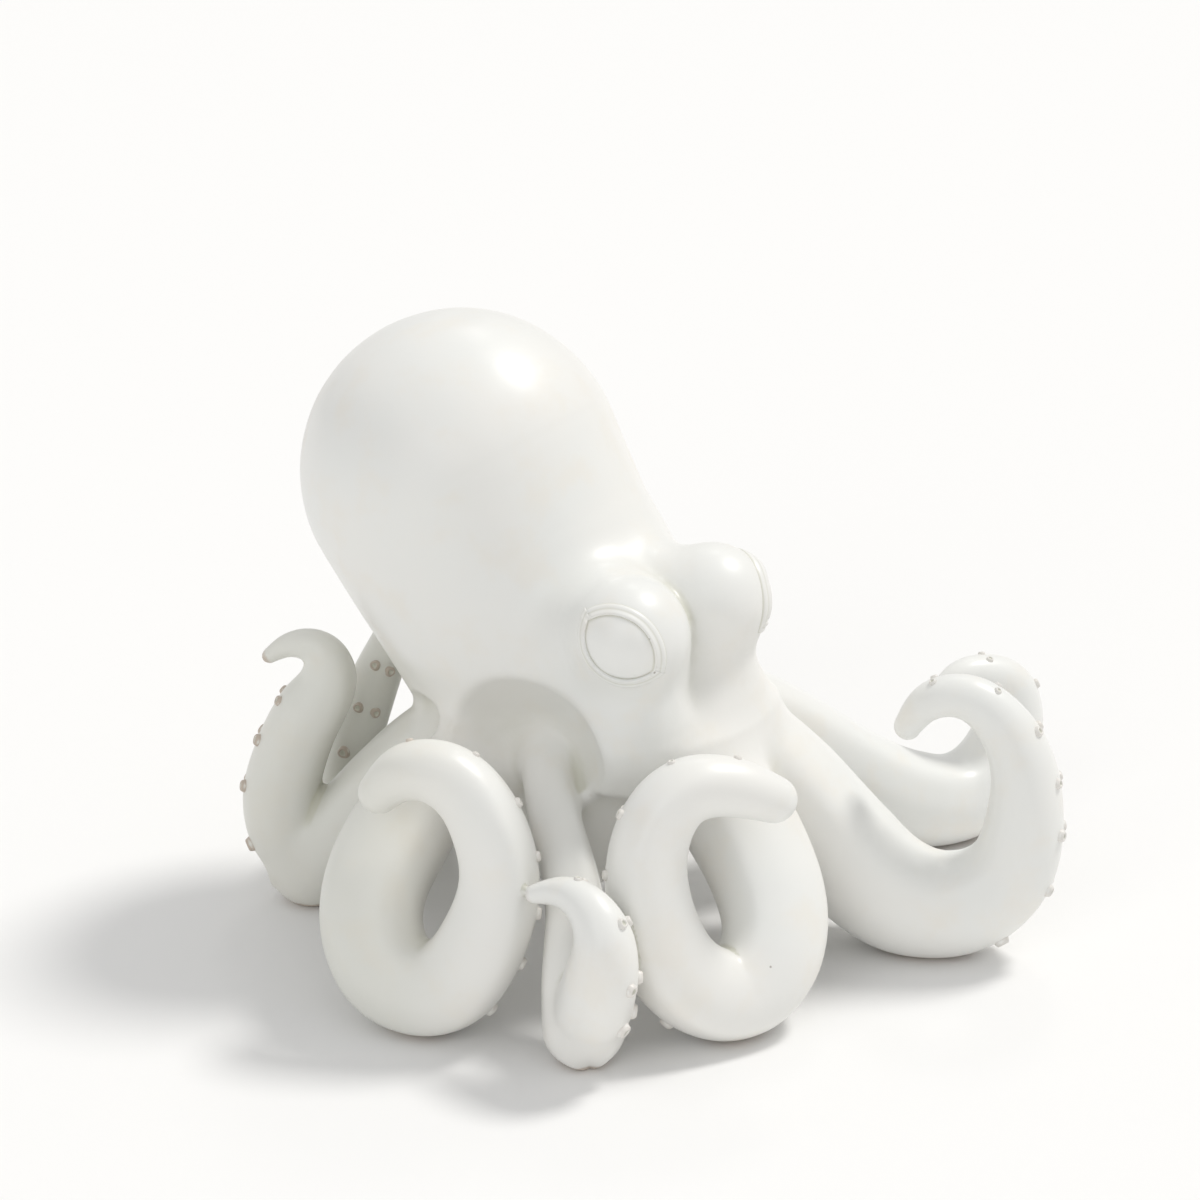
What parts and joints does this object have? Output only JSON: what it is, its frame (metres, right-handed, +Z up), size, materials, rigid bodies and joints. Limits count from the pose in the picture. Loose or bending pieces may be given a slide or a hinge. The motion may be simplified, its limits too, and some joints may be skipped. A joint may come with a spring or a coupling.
{
  "type": "octopus figurine",
  "caption": "Glazed ceramic octopus ornament that stands on its curled arms, with a leaning domed head, raised eye rims and small dimpled suckers.",
  "frame": {"origin": "on the floor, under the middle of the whole figure's box", "axes": "+Z up, the face looks towards -Y, the figure's own left is +X"},
  "size_m": [0.3948, 0.3858, 0.3025],
  "materials": {
    "glazed_stoneware": "satin-gloss warm white glaze over stoneware",
    "eye_glaze": "glossy warm white glaze"
  },
  "bodies": {
    "root": {"mantle_head": "glazed_stoneware", "web_crown": "glazed_stoneware", "arm_left_1": "glazed_stoneware", "arm_left_2": "glazed_stoneware", "arm_left_3": "glazed_stoneware", "arm_left_4": "glazed_stoneware", "arm_right_1": "glazed_stoneware", "arm_right_2": "glazed_stoneware", "arm_right_3": "glazed_stoneware", "arm_right_4": "glazed_stoneware", "suckers_left_1": "glazed_stoneware", "suckers_left_2": "glazed_stoneware", "suckers_left_3": "glazed_stoneware", "suckers_left_4": "glazed_stoneware", "suckers_right_1": "glazed_stoneware", "suckers_right_2": "glazed_stoneware", "suckers_right_3": "glazed_stoneware", "suckers_right_4": "glazed_stoneware", "eyeball_left": "eye_glaze", "upper_eyelid_left": "glazed_stoneware", "lower_eyelid_left": "glazed_stoneware", "eyeball_right": "eye_glaze", "upper_eyelid_right": "glazed_stoneware", "lower_eyelid_right": "glazed_stoneware"}
  },
  "joints": []
}
